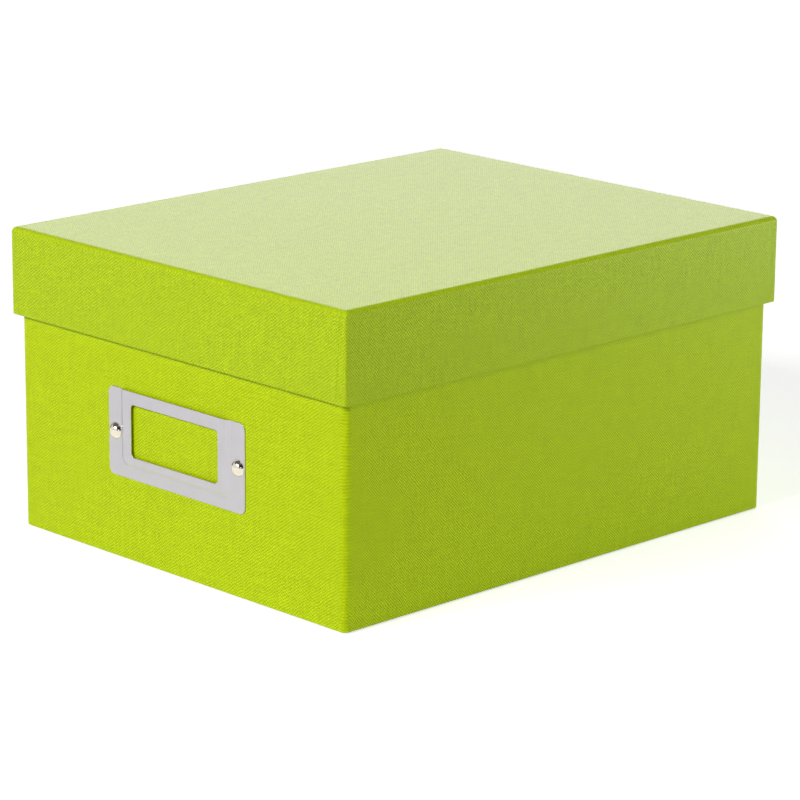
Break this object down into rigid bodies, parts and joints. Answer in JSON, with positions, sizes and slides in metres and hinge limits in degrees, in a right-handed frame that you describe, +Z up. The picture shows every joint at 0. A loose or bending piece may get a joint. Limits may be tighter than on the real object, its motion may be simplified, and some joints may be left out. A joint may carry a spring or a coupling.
{
  "type": "photo storage box",
  "caption": "Rigid paper-covered storage box with a deep telescoping lift-off lid and a pressed metal label holder pinned to one end.",
  "frame": {"origin": "on the surface that the box stands on, under the middle of the closed box", "axes": "+Z up, the way the lid lifts; +Y along the box from the end with the label holder to the other end; +X across it, to the right of someone who faces the label holder"},
  "size_m": [0.2, 0.2501, 0.128],
  "materials": {
    "cover_paper": "matte",
    "grey_board": "matte",
    "stay_tape": "matte",
    "lining_paper": "matte",
    "nickelled_steel": "satin",
    "polished_nickel": "polished"
  },
  "bodies": {
    "base": {"base_board": "grey_board", "base_corner_stay_front_left": "stay_tape", "base_corner_stay_front_right": "stay_tape", "base_corner_stay_back_left": "stay_tape", "base_corner_stay_back_right": "stay_tape", "base_wrap": "cover_paper", "base_bottom_sheet": "cover_paper", "base_wall_liner": "lining_paper", "base_floor_liner": "lining_paper", "label_holder": "nickelled_steel", "label_pin_left": "polished_nickel", "label_pin_right": "polished_nickel"},
    "lid": {"lid_board": "grey_board", "lid_corner_stay_front_left": "stay_tape", "lid_corner_stay_front_right": "stay_tape", "lid_corner_stay_back_left": "stay_tape", "lid_corner_stay_back_right": "stay_tape", "lid_wrap": "cover_paper", "lid_liner": "lining_paper"}
  },
  "joints": [
    {"name": "lid_lift", "type": "slide", "parent": "base", "child": "lid", "axis": [0, 0, 1], "range_m": [0, 0.12]}
  ]
}
